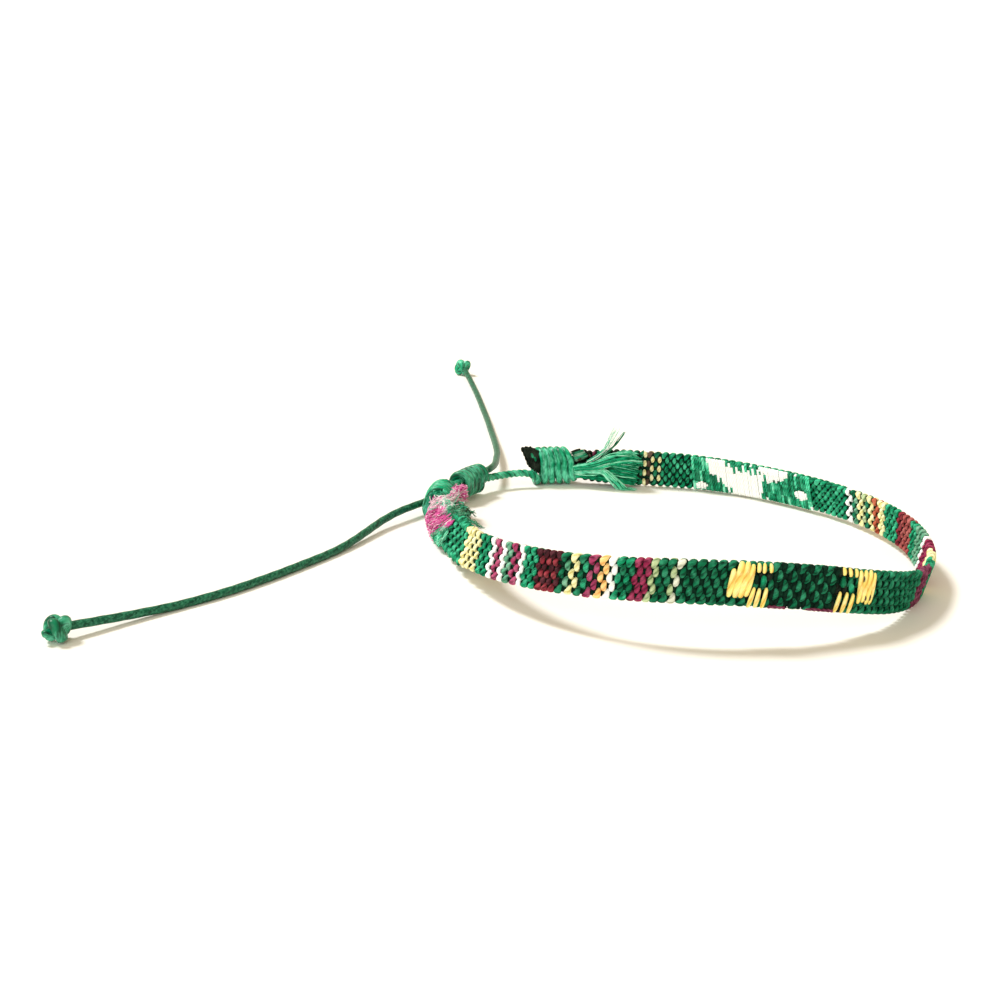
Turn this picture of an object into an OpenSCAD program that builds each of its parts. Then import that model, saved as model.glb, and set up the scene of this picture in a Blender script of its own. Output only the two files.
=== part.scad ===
// Adjustable wrist band: a flat woven strip whose two folded ends are lashed with round waxed cord
// and drawn together by a sliding knot, with two knotted cord tails.
// It lies on a table on its lower edge. X runs across the loop, Y away from the front, Z up.

/* [Band] */
// Width of the woven strip
band_w = 5.5; // [4:0.1:8]
// Thickness of the woven strip
band_t = 1.3; // [1:0.1:2]
// Rounding of the strip's long edges
edge_r = 0.5; // [0.2:0.05:0.6]
// Width of the folded strip inside the left lashing
left_w = 3.3; // [3:0.1:5]
// Width of the folded strip inside the back lashing
back_w = 3.8; // [3:0.1:5]
// Thickness of the folded strip inside a lashing
end_t = 2; // [1.6:0.1:3]

/* [Loop] */
// Width of the loop from left to right, measured on the middle of the strip
loop_w = 70.5; // [60:0.5:80]

/* [Cord] */
// Diameter of the waxed cord
cord_d = 1.1; // [0.8:0.1:1.4]
// Clearance between one turn and the next
turn_gap = 0.04; // [0.02:0.01:0.2]
// Turns of cord lashed round the left end
left_turns = 4; // [3:1:8]
// Turns of cord lashed round the back end
back_turns = 5; // [3:1:8]
// Turns of cord in the sliding knot
knot_turns = 6; // [3:1:8]
// Width of the knot at the end of each tail
ball_d = 3.3; // [2.4:0.1:5]

/* [Hidden] */

up_axis = [0, 0, 1];
cord_r = cord_d / 2;
pitch = cord_d + turn_gap;
cord_sides = 8;
// Rings of a cord for each turn of a coil, and for each span of a run or a tail
turn_rings = 12;
span_rings = 2;

// The loop's line through the middle of the strip, every 15 degrees of bearing from the right.
// Columns: bearing, distance from the middle, height, lean of the strip's top toward the middle
row_step = 15;
loop_rows = [
    [0, 35, 3.5, -1], [15, 34.3, 3.6, 7], [30, 34.1, 3.4, 9], [45, 34.1, 3.3, 9],
    [60, 34.5, 3.2, 7], [75, 35.3, 3.1, 3], [90, 35.7, 3.1, -2], [105, 36.7, 3.2, -6],
    [120, 40.4, 3.15, -5], [135, 39.7, 2.7, 0], [150, 37.5, 2.9, -3], [165, 36, 3, 18],
    [180, 31.6, 2.8, 30], [195, 31.1, 3.4, 23], [210, 32.6, 4.95, 17], [225, 34.5, 6.2, 11],
    [240, 36.1, 7.4, 3], [255, 36.5, 8.1, -4], [270, 35.6, 8.2, -2], [285, 35.2, 7.7, 4],
    [300, 35.6, 6.3, 6], [315, 36.4, 4.1, -4], [330, 36.1, 2.6, -16], [345, 35.6, 2.8, -13]];
loop_scale = loop_w / 70.5;
rows_n = len(loop_rows);

// The strip's section along the loop.
// Columns: bearing, width, thickness, rise of its middle, slant of its end in degrees per mm
left_end = 157.2;
back_end = 481.7;
strip_rows = [
    [left_end, left_w, end_t, 0, 0], [164.9, left_w, end_t, 0, 0], [168.5, 0.85 * band_w, 1.9, 0, 0],
    [178, band_w, 1.5, 0, 0], [188, band_w, band_t, 0, 0], [450, band_w, band_t, 0, 0],
    [462, 0.95 * band_w, 1.5, 0, 0], [467.5, back_w + 0.6, 1.9, 0, 0], [469.8, back_w, end_t, 0, 0],
    [479.4, back_w, end_t, 0, 0], [back_end, back_w - 0.2, end_t - 0.2, 1.5, 0.47]];
strip_step = 3;

// Bearings at which the coils' centre lines start, and the angle round the strip at which they do
left_coil = 163.8;
left_phase = 90;
back_coil = 470.9;
back_phase = 315;
knot_coil = 136.4;
// Clearance between a coil and what it is wound on, and of a cord over what it lies on
seat = 0.13;
rest_gap = 0.06;

// The two lashed cords beside the loop's line, from their coil to the far end of the sliding knot,
// where they lie one above the other. Columns: bearing, inward, up
core = cord_r + turn_gap / 2;
left_run = [[155.9, 0.9, 2.1], [154.8, 1.1, 1.5], [153.5, 0.7, 1], [152, 0.2, 0.7], [150.3, 0, core],
    [149, 0, core], [145.5, 0, core], [142, 0, core], [138, 0, core]];
back_run = [[480.1, 1.7, -1.6], [481.2, 1.8, -1.1], [483, 1.4, -0.7], [486, 0.8, -0.6], [489.5, 0.4, -core],
    [493, 0, -core], [497, 0, -core], [501, 0, -core], [505, 0, -core], [507, 0, -core]];

// The free tails, laid by hand from the ends of the sliding knot to the end knots, and where those lie
front_route = [[-32.7, 18.9, 2.2], [-33.9, 17.9, 2.1], [-35.5, 16.6, 2], [-37.1, 14.7, 1.8],
    [-38.6, 12.4, 1.8], [-40.4, 9.6, 1.7], [-42.3, 6.2, 1.4], [-44, 2.2, 1.1], [-45.9, -2.4, 0.8],
    [-48.2, -7, 0.6], [-51.6, -12.7, 0.57], [-55.4, -18.6, 0.57], [-60, -24.9, 0.57],
    [-65, -30.4, 0.6], [-69.6, -35.1, 0.9], [-73.2, -38.9, 1.3], [-75.8, -41.6, 1.6]];
back_route = [[-27.8, 28.1, 3.5], [-26.9, 30, 3.5], [-26.3, 33, 3.2], [-26, 36.5, 2.8], [-25.9, 41, 2.4],
    [-25.8, 46, 2], [-26.1, 52, 1.7], [-26.6, 59, 1.3], [-27.2, 66, 1], [-27.8, 73, 0.8], [-28.5, 80, 0.65],
    [-29.3, 87, 0.62], [-30.1, 94, 0.62], [-31, 101, 0.65], [-32, 107.5, 0.9], [-33, 113, 1.3],
    [-33.6, 116.2, 1.6]];
front_ball = [-76.9, -42.9];
back_ball = [-34.1, 117.9];

// Frayed ends, beside the loop's line. Columns: bearing, inward, up, half height, half thickness
left_fray_rows = [[165.3, 2.2, 0.8, 1.4, 0.9], [166.1, 2.9, 1.1, 1.9, 1.4], [167.3, 3.5, 1.3, 2.2, 1.7],
    [168.9, 4, 1.3, 2.1, 1.5], [170.3, 4.3, 1.2, 1.5, 0.9]];
back_fray_rows = [[453.8, 1.8, 0.5, 2.5, 0.8], [457, 1.9, 0.6, 2.6, 1], [461, 1.9, 0.3, 2, 0.9],
    [465, 1.9, -0.1, 1.2, 0.7], [469.3, 1.9, -0.4, 0.9, 0.5]];

// Moves the loop so that the part's box stands centred on the origin
place = [0.34, -0.69, -0.04];

// Vectors
function unit(v) = v / norm(v);
function wrap(i) = (i % rows_n + rows_n) % rows_n;

// Smooth value between four rows, at the share f between the middle two
function blend(a, b, c, d, f) = (a * pow(1 - f, 3) + b * (3 * pow(f, 3) - 6 * f * f + 4)
    + c * (1 + 3 * f + 3 * f * f - 3 * pow(f, 3)) + d * pow(f, 3)) / 6;
function loop_value(bearing, column) = let (u = bearing / row_step, i = floor(u)) blend(
    loop_rows[wrap(i - 1)][column], loop_rows[wrap(i)][column],
    loop_rows[wrap(i + 1)][column], loop_rows[wrap(i + 2)][column], u - i);

// The loop's line and its directions: along it, toward the middle and up the strip's face
function loop_point(bearing) = let (r = loop_value(bearing, 1) * loop_scale)
    [r * cos(bearing), r * sin(bearing), loop_value(bearing, 2)];
function along(bearing) = unit(loop_point(bearing + 1) - loop_point(bearing - 1));
function level_in(bearing) = unit(cross(up_axis, along(bearing)));
function face_up(bearing) = let (lean = loop_value(bearing, 3), n = level_in(bearing))
    cos(lean) * cross(along(bearing), n) + sin(lean) * n;
function face_in(bearing) = cross(face_up(bearing), along(bearing));

// A place beside the loop's line
function spot(bearing, inward, up) = loop_point(bearing)
    + inward * face_in(bearing) + up * face_up(bearing);

// Section of the strip as [inward, up] pairs, a rounded rectangle
function section(w, t, r) = [for (k = [0:3], a = [0:30:90])
    let (turn = 90 * k + a, sx = (k == 0 || k == 3) ? 1 : -1, sy = k < 2 ? 1 : -1)
    [sx * (t / 2 - r) + r * cos(turn), sy * (w / 2 - r) + r * sin(turn)]];
function strip_value(bearing, column) = lookup(bearing, [for (row = strip_rows) [row[0], row[column]]]);
function strip_ring(bearing) = let (t = strip_value(bearing, 2), r = edge_r + 0.8 * (t - band_t) / 2)
    [for (p = section(strip_value(bearing, 1), t, r))
        spot(bearing + strip_value(bearing, 4) * p[1], p[0], p[1] + strip_value(bearing, 3))];

ring_bearings = concat([for (i = [0:len(strip_rows) - 2])
    let (a = strip_rows[i][0], b = strip_rows[i + 1][0], steps = ceil((b - a) / strip_step))
    for (k = [0:steps - 1]) a + (b - a) * k / steps], [back_end]);

// A coil of cord round a core of the given width and thickness
function coil_spot(bearing, angle, w, t) = let (r = t / 2 + cord_r + seat, straight = (w - t) / 2)
    spot(bearing, r * cos(angle), r * sin(angle) + straight * sign(sin(angle)));
function coil(start, sense, turns, w, t, phase) =
    let (turn_arc = pitch / (norm(loop_point(start)) * PI / 180))
    [for (i = [0:turns * turn_rings]) let (share = i / turn_rings)
        coil_spot(start + sense * share * turn_arc, phase + sense * 360 * share, w, t)];

// Points of a smooth line through a list of points, n steps for each span
function through(points, n) = let (last = len(points) - 1) concat([for (i = [0:last - 1], j = [0:n - 1])
    let (a = points[max(i - 1, 0)], b = points[i], c = points[i + 1], d = points[min(i + 2, last)], f = j / n)
    ((2 * b) + (c - a) * f + (2 * a - 5 * b + 4 * c - d) * f * f
        + (3 * b - a - 3 * c + d) * f * f * f) / 2], [points[last]]);

// A round cord along a line of points, its rings square to the line
function heading(line, i) = unit(line[min(i + 1, len(line) - 1)] - line[max(i - 1, 0)]);
function cord_ring(line, i, side) =
    let (t = heading(line, i), n = unit(side - (side * t) * t), b = cross(t, n))
    [for (k = [0:cord_sides - 1]) let (a = 360 * k / cord_sides)
        line[i] + cord_r * (cos(a) * n + sin(a) * b)];
function carried(line) = [for (i = 0, side = unit(cross(heading(line, 0), [0.3, 0.1, 1])); i < len(line);
    side = let (t = heading(line, min(i + 1, len(line) - 1))) unit(side - (side * t) * t), i = i + 1) side];
function cord_rings(line) = let (sides = carried(line))
    [for (i = [0:len(line) - 1]) cord_ring(line, i, sides[i])];

// A lashed cord is one line of rings: its coil, its run to the far end of the sliding knot and its free
// tail. join gives the ring where the tail begins
function spots(rows) = [for (row = rows) spot(row[0], row[1], row[2])];
function lashed_line(wound, run, route) = concat(wound, slice(through(
    concat([wound[len(wound) - 1]], spots(run), laid(route)), span_rings), 1));
function laid(route) = [for (p = route)
    [p[0] * loop_scale, p[1] * loop_scale, max(p[2], cord_r + rest_gap)]];
function slice(items, from, to) = [for (i = [from:is_undef(to) ? len(items) - 1 : to]) items[i]];
function join(wound, run) = len(wound) - 1 + span_rings * (len(run) + 1);

left_wound = coil(left_coil, -1, left_turns, left_w, end_t, left_phase);
left_rings = cord_rings(lashed_line(left_wound, left_run, back_route));
left_join = join(left_wound, left_run);
back_wound = coil(back_coil, 1, back_turns, back_w, end_t, back_phase);
back_rings = cord_rings(lashed_line(back_wound, back_run, front_route));
back_join = join(back_wound, back_run);

// A closed solid skinned over a list of rings
module skin(rings) {
    n = len(rings[0]);
    last = len(rings) - 1;
    points = [for (ring = rings, p = ring) p];
    walls = [for (i = [0:last - 1], k = [0:n - 1]) let (a = i * n + k, b = i * n + (k + 1) % n)
        for (face = [[a, b + n, b], [a, a + n, b + n]]) face];
    caps = [[for (k = [0:n - 1]) k], [for (k = [n - 1:-1:0]) last * n + k]];
    translate(place) polyhedron(points, concat(walls, caps), convexity = 8);
}

// An upright oval section beside the loop's line
function oval_ring(row, sides = 12) = [for (k = [0:sides - 1]) let (a = 360 * k / sides)
    spot(row[0], row[1] + row[4] * cos(a), row[2] + row[3] * sin(a))];

// A tight end knot: a ball with low ridges that wind round it
module end_knot(at, turn) {
    rings = 12;
    sides = 16;
    r = ball_d / 2;
    ridge = 0.06;
    points = [for (i = [1:rings - 1], k = [0:sides - 1])
        let (lat = 180 * i / rings - 90, lon = 360 * k / sides)
        r * (1 - ridge + ridge * cos(3 * lon + 2 * lat)) *
            [cos(lat) * cos(lon), cos(lat) * sin(lon), sin(lat)]];
    walls = [for (i = [0:rings - 3], k = [0:sides - 1])
        let (a = i * sides + k, b = i * sides + (k + 1) % sides)
        for (face = [[a, b + sides, b], [a, a + sides, b + sides]]) face];
    caps = [[for (k = [0:sides - 1]) k], [for (k = [sides - 1:-1:0]) (rings - 2) * sides + k]];
    translate(place + [at[0] * loop_scale, at[1] * loop_scale, r + rest_gap])
        rotate(turn) polyhedron(points, concat(walls, caps), convexity = 4);
}

module woven_band() {
    color("seagreen") skin([for (bearing = ring_bearings) strip_ring(bearing)]);
}

module left_lashing_cord() {
    color("mediumseagreen") skin(slice(left_rings, 0, left_join));
}

module back_lashing_cord() {
    color("mediumseagreen") skin(slice(back_rings, 0, back_join));
}

module sliding_knot() {
    color("mediumseagreen")
        skin(cord_rings(coil(knot_coil, 1, knot_turns, 2 * cord_d + turn_gap, cord_d, 0)));
}

module left_frayed_end() {
    color("hotpink") skin([for (row = left_fray_rows) oval_ring(row)]);
}

module back_frayed_end() {
    color("mediumaquamarine") skin([for (row = back_fray_rows) oval_ring(row)]);
}

module front_tail() {
    color("seagreen") skin(slice(back_rings, back_join));
}

module front_tail_knot() {
    color("mediumseagreen") end_knot(front_ball, [0, 90, 45]);
}

module back_tail() {
    color("seagreen") skin(slice(left_rings, left_join));
}

module back_tail_knot() {
    color("mediumseagreen") end_knot(back_ball, [90, 0, 10]);
}

woven_band();
left_lashing_cord();
back_lashing_cord();
sliding_knot();
left_frayed_end();
back_frayed_end();
front_tail();
front_tail_knot();
back_tail();
back_tail_knot();
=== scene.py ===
# A flat woven wrist band with lashed ends, a sliding knot and two knotted cord tails, on a pale
# surface. All sizes are millimetres in the part's own frame until a mesh is made.
import math

import bpy
import numpy as np
from mathutils import Matrix


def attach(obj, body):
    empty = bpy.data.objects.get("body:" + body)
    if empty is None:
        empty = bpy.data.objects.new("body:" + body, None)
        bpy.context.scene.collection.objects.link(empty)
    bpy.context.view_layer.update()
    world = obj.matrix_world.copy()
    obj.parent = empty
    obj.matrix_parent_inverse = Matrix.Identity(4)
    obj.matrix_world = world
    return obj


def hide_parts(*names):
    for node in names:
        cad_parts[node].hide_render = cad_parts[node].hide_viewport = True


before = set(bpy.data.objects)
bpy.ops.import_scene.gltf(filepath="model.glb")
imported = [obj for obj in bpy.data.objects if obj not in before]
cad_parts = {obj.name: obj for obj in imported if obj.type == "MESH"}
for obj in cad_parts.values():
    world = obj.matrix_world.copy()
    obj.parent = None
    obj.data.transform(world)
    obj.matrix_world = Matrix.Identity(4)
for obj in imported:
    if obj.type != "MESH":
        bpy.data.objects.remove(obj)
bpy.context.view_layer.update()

MM = 0.001
rng = np.random.default_rng(7)

# The strip and its folded ends, as in the part's source
band_w = 5.5
band_t = 1.3
left_w = 3.3
back_w = 3.8
end_t = 2

# The waxed cord, its coils and the knots at the tails' ends, as in the part's source
cord_d = 1.1
cord_r = cord_d / 2
turn_gap = 0.04
pitch = cord_d + turn_gap
ball_d = 3.3
# How far above and below the loop's line the sliding knot's two cords run
core = cord_r + turn_gap / 2
# Clearance between a coil and what it holds, and between the surface and what lies on it
seat = 0.13
rest_gap = 0.06

# Moves the loop so that the origin is under the middle of its box
place = np.array([0.34, -0.69, -0.04])

# The loop's line. Columns: bearing, distance from the middle, height, lean of the strip's top
# toward the middle
row_step = 15
loop_rows = np.array([
    [0, 35, 3.5, -1], [15, 34.3, 3.6, 7], [30, 34.1, 3.4, 9], [45, 34.1, 3.3, 9],
    [60, 34.5, 3.2, 7], [75, 35.3, 3.1, 3], [90, 35.7, 3.1, -2], [105, 36.7, 3.2, -6],
    [120, 40.4, 3.15, -5], [135, 39.7, 2.7, 0], [150, 37.5, 2.9, -3], [165, 36, 3, 18],
    [180, 31.6, 2.8, 30], [195, 31.1, 3.4, 23], [210, 32.6, 4.95, 17], [225, 34.5, 6.2, 11],
    [240, 36.1, 7.4, 3], [255, 36.5, 8.1, -4], [270, 35.6, 8.2, -2], [285, 35.2, 7.7, 4],
    [300, 35.6, 6.3, 6], [315, 36.4, 4.1, -4], [330, 36.1, 2.6, -16], [345, 35.6, 2.8, -13]])

# Where the strip's two ends are, as bearings
left_end = 157.2
back_end = 481.7

# The coils. Columns: bearing of the first turn, way along the loop, number of turns, width and
# thickness of what they hold, start of the first turn in degrees, lean of the first turns
left_coil = (163.8, -1, 4, left_w, end_t, 90, 0)
back_coil = (470.9, 1, 5, back_w, end_t, 315, 0.7)
knot_coil = (136.4, 1, 6, 2 * cord_d + turn_gap, cord_d, 0, 0)

# The two lashed cords beside the loop's line, from their coil to the far end of the sliding knot.
# Columns: bearing, inward, up
left_run = np.array([
    [155.9, 0.9, 2.1], [154.8, 1.1, 1.5], [153.5, 0.7, 1], [152, 0.2, 0.7], [150.3, 0, core],
    [149, 0, core], [145.5, 0, core], [142, 0, core], [138, 0, core]])
back_run = np.array([
    [480.1, 1.7, -1.6], [481.2, 1.8, -1.1], [483, 1.4, -0.7], [486, 0.8, -0.6], [489.5, 0.4, -core],
    [493, 0, -core], [497, 0, -core], [501, 0, -core], [505, 0, -core], [507, 0, -core]])

# The free tails' routes and the middles of their end knots, before the loop is moved to its place
front_route = np.array([
    [-32.7, 18.9, 2.2], [-33.9, 17.9, 2.1], [-35.5, 16.6, 2], [-37.1, 14.7, 1.8],
    [-38.6, 12.4, 1.8], [-40.4, 9.6, 1.7], [-42.3, 6.2, 1.4], [-44, 2.2, 1.1], [-45.9, -2.4, 0.8],
    [-48.2, -7, 0.6], [-51.6, -12.7, 0.57], [-55.4, -18.6, 0.57], [-60, -24.9, 0.57],
    [-65, -30.4, 0.6], [-69.6, -35.1, 0.9], [-73.2, -38.9, 1.3], [-75.8, -41.6, 1.6]])
back_route = np.array([
    [-27.8, 28.1, 3.5], [-26.9, 30, 3.5], [-26.3, 33, 3.2], [-26, 36.5, 2.8], [-25.9, 41, 2.4],
    [-25.8, 46, 2], [-26.1, 52, 1.7], [-26.6, 59, 1.3], [-27.2, 66, 1], [-27.8, 73, 0.8],
    [-28.5, 80, 0.65], [-29.3, 87, 0.62], [-30.1, 94, 0.62], [-31, 101, 0.65], [-32, 107.5, 0.9],
    [-33, 113, 1.3], [-33.6, 116.2, 1.6]])
front_ball = np.array([-76.9, -42.9, ball_d / 2 + rest_gap])
back_ball = np.array([-34.1, 117.9, ball_d / 2 + rest_gap])


# Vectors and the loop's line

def unit(v):
    """Vectors made 1 long."""
    return v / np.linalg.norm(v, axis=-1, keepdims=True)


def loop_value(bearing, column):
    """A smooth value between four of the loop's rows."""
    u = np.asarray(bearing, float) / row_step
    i = np.floor(u).astype(int)
    f = u - i
    a, b, c, d = (loop_rows[(i + k) % len(loop_rows), column] for k in (-1, 0, 1, 2))
    return (a * (1 - f)**3 + b * (3 * f**3 - 6 * f * f + 4)
            + c * (1 + 3 * f + 3 * f * f - 3 * f**3) + d * f**3) / 6


def loop_point(bearing):
    """A point of the loop's line, before it is moved to its place."""
    r = loop_value(bearing, 1)
    angle = np.radians(bearing)
    return np.stack([r * np.cos(angle), r * np.sin(angle), loop_value(bearing, 2)], -1)


def along(bearing):
    """The direction of the loop's line."""
    bearing = np.asarray(bearing, float)
    return unit(loop_point(bearing + 1) - loop_point(bearing - 1))


def face_up(bearing):
    """The direction up the strip's face."""
    lean = np.radians(loop_value(bearing, 3))[..., None]
    level_in = unit(np.cross([0.0, 0.0, 1.0], along(bearing)))
    return np.cos(lean) * np.cross(along(bearing), level_in) + np.sin(lean) * level_in


def face_in(bearing):
    """The direction square to the strip's face, toward the loop's middle."""
    return np.cross(face_up(bearing), along(bearing))


def spot(bearing, inward, up):
    """A place beside the loop's line, in the part's frame."""
    bearing, inward, up = np.broadcast_arrays(np.asarray(bearing, float), inward, up)
    return (loop_point(bearing) + inward[..., None] * face_in(bearing)
            + up[..., None] * face_up(bearing) + place)


# Lengths along the strip's middle, from its left end, at closely spaced bearings
bearings = np.linspace(left_end - 3, back_end + 3, 3300)
steps = np.linalg.norm(np.diff(loop_point(bearings), axis=0), axis=1)
lengths = np.concatenate([[0], np.cumsum(steps)])
lengths -= np.interp(left_end, bearings, lengths)


def bearing_at(length):
    """The bearing at a length from the strip's left end."""
    return np.interp(length, lengths, bearings)


def on_strip(length, inward, up):
    """A point of the part from its place on the strip."""
    return spot(bearing_at(length), inward, up)


def read(rows, at, column=1):
    """A value between the rows of a table, whose first column is the place."""
    return np.interp(at, rows[:, 0], rows[:, column])


def through(points, n):
    """Points of a smooth line through a list of points, n steps for each span."""
    points = np.asarray(points, float)
    last = len(points) - 1
    made = []
    for i in range(last):
        a, b, c, d = points[max(i - 1, 0)], points[i], points[i + 1], points[min(i + 2, last)]
        for f in np.arange(n) / n:
            made.append((2 * b + (c - a) * f + (2 * a - 5 * b + 4 * c - d) * f * f
                         + (3 * b - a - 3 * c + d) * f**3) / 2)
    made.append(points[last])
    return np.array(made)


# Meshes from swept tubes

# The rings that round a tube's end. Columns: share of the end's section, reach beyond it in radii
tip_rings = ((0.75, 0.45), (0.2, 0.7))


class Shape:
    """Collects tubes into one mesh, with a material and texture coordinates for each face.
    The texture's x is turns round a tube, less its plies' twist, and its y millimetres along it."""

    def __init__(self):
        self.points = []
        self.corners = []
        self.totals = []
        self.looks = []
        self.coords = []
        self.count = 0

    def rings(self, rings, look, distance, twist):
        """Skins a list of rings of points. look is a material's number for each span."""
        n, sides = rings.shape[:2]
        i, k = np.meshgrid(np.arange(n - 1), np.arange(sides), indexing="ij")
        ring = np.stack([i, i, i + 1, i + 1], -1)
        corner = np.stack([k, k + 1, k + 1, k], -1)
        quads = ring * sides + corner % sides
        turn = corner / sides - twist[ring]
        self.points.append(rings.reshape(-1, 3))
        self.corners.append(quads.reshape(-1) + self.count)
        self.totals.append(np.full((n - 1) * sides, 4))
        self.coords.append(np.stack([turn, distance[ring]], -1).reshape(-1, 2))
        self.looks.append(np.repeat(look, sides))
        first = np.arange(sides)[::-1]
        last = (n - 1) * sides + np.arange(sides)
        for cap, at in ((first, 0), (last, -1)):
            self.corners.append(cap + self.count)
            self.totals.append(np.array([sides]))
            self.coords.append(np.full((sides, 2), distance[at]))
            self.looks.append(np.array([look[at]]))
        self.count += n * sides

    def tube(self, line, across, wide, thick, look=0, sides=8, lobes=0, depth=0.0, lay=1.6,
             rounded=True):
        """A tube along a line. wide and thick are its half sizes along across and square to it.
        lobes and depth give it the plies of a cord, and lay is the length of their full turn."""
        n = len(line)
        heading = unit(np.gradient(line, axis=0))
        side = unit(across - (across * heading).sum(1, keepdims=True) * heading)
        over = np.cross(heading, side)
        wide = np.broadcast_to(wide, n)
        thick = np.broadcast_to(thick, n)
        spans = np.linalg.norm(np.diff(line, axis=0), axis=1)
        distance = np.concatenate([[0], np.cumsum(spans)])
        twist = np.concatenate([[0], np.cumsum(spans / np.broadcast_to(lay, n)[1:])])
        look = np.broadcast_to(look, n - 1)
        angle = 2 * np.pi * np.arange(sides) / sides
        swell = 1 + np.broadcast_to(depth, n)[:, None] * np.cos(
            lobes * (angle[None] - 2 * np.pi * twist[:, None]))
        ring = (np.cos(angle)[None, :, None] * (wide[:, None] * swell)[..., None] * side[:, None]
                + np.sin(angle)[None, :, None] * (thick[:, None] * swell)[..., None] * over[:, None])
        made = [line[:, None] + ring]
        if rounded:
            size = np.minimum(wide, thick)
            for share, reach in tip_rings:
                start = line[0] - reach * size[0] * heading[0] + ring[0] * share
                end = line[-1] + reach * size[-1] * heading[-1] + ring[-1] * share
                made = [start[None]] + made + [end[None]]
            look, distance, twist = (np.pad(a, 2, "edge") for a in (look, distance, twist))
        self.rings(np.concatenate(made), look, distance, twist)

    def strand(self, line, radius, look, sides):
        """A thin round fibre that tapers to its far end."""
        taper = radius * np.interp(np.linspace(0, 1, len(line)), [0, 0.7, 1], [1, 0.9, 0.35])
        self.tube(line, carried(line), taper, taper, look, sides, lay=3.0, rounded=False)


def carried(line, side=None):
    """A side direction at each point of a line, turned as little as may be."""
    heading = unit(np.gradient(line, axis=0))
    if side is None:
        side = unit(np.cross(heading[0], [0.3, 0.1, 1.0]))
    sides = []
    for t in heading:
        side = unit(side - side.dot(t) * t)
        sides.append(side)
    return np.array(sides)


def in_scene(name, data):
    """A new object in the scene."""
    obj = bpy.data.objects.new(name, data)
    bpy.context.scene.collection.objects.link(obj)
    return obj


def make(name, shape, materials, stands_for=()):
    """Turns a Shape into an object that rides on the part."""
    mesh = bpy.data.meshes.new(name)
    points = np.concatenate(shape.points) * MM
    corners = np.concatenate(shape.corners)
    totals = np.concatenate(shape.totals)
    mesh.vertices.add(len(points))
    mesh.vertices.foreach_set("co", points.astype(np.float32).ravel())
    mesh.loops.add(len(corners))
    mesh.loops.foreach_set("vertex_index", corners.astype(np.int32))
    mesh.polygons.add(len(totals))
    for key, values in (("loop_start", np.cumsum(totals) - totals), ("loop_total", totals),
                        ("material_index", np.concatenate(shape.looks))):
        mesh.polygons.foreach_set(key, values.astype(np.int32))
    mesh.polygons.foreach_set("use_smooth", np.ones(len(totals), bool))
    layer = mesh.uv_layers.new(name="yarn")
    mesh.update(calc_edges=True)
    layer.data.foreach_set("uv", np.concatenate(shape.coords).astype(np.float32).ravel())
    for material in materials:
        mesh.materials.append(material)
    mesh.validate()
    obj = in_scene(name, mesh)
    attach(obj, "root")
    if stands_for:
        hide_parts(*stands_for)
    return obj


# Materials

def linear(colour):
    """An sRGB colour from 0 to 255 as linear values."""
    c = np.array(colour, float) / 255
    return tuple(np.where(c <= 0.04045, c / 12.92, ((c + 0.055) / 1.055)**2.4)) + (1.0,)


class Nodes:
    """Short calls for a material's nodes."""

    def __init__(self, name):
        self.material = bpy.data.materials.new(name)
        self.material.use_nodes = True
        self.tree = self.material.node_tree
        self.shader = self.tree.nodes["Principled BSDF"]

    def add(self, kind, inputs=(), **settings):
        node = self.tree.nodes.new(kind)
        for key, value in settings.items():
            setattr(node, key, value)
        for key, value in dict(inputs).items():
            self.feed(node.inputs[key], value)
        return node

    def feed(self, socket, value):
        """Links another node's output to an input, or sets the input's own number or colour."""
        if isinstance(value, bpy.types.NodeSocket):
            self.tree.links.new(value, socket)
        else:
            socket.default_value = value

    def maths(self, operation, *values):
        """The result of one sum or function."""
        return self.add("ShaderNodeMath", dict(enumerate(values)), operation=operation).outputs[0]

    def weighed(self, first, first_weight, second, second_weight):
        """Two values, each times its weight, added up."""
        return self.maths("ADD", self.maths("MULTIPLY", first, first_weight),
                          self.maths("MULTIPLY", second, second_weight))

    def mix(self, share, first, second):
        """The first colour where share is 0 and the second where it is 1."""
        colours = {0: share, 6: first, 7: second}
        return self.add("ShaderNodeMix", colours, data_type="RGBA").outputs[2]

    def noise(self, vector, scale, detail, rough):
        node = self.add("ShaderNodeTexNoise", {"Vector": vector, "Scale": scale, "Detail": detail,
                                               "Roughness": rough})
        return node.outputs["Fac"]

    def spread(self, value, low, high):
        """Stretches a value so that low becomes 0 and high 1."""
        node = self.add("ShaderNodeMapRange", {"Value": value, "From Min": low, "From Max": high})
        return node.outputs["Result"]


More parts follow.
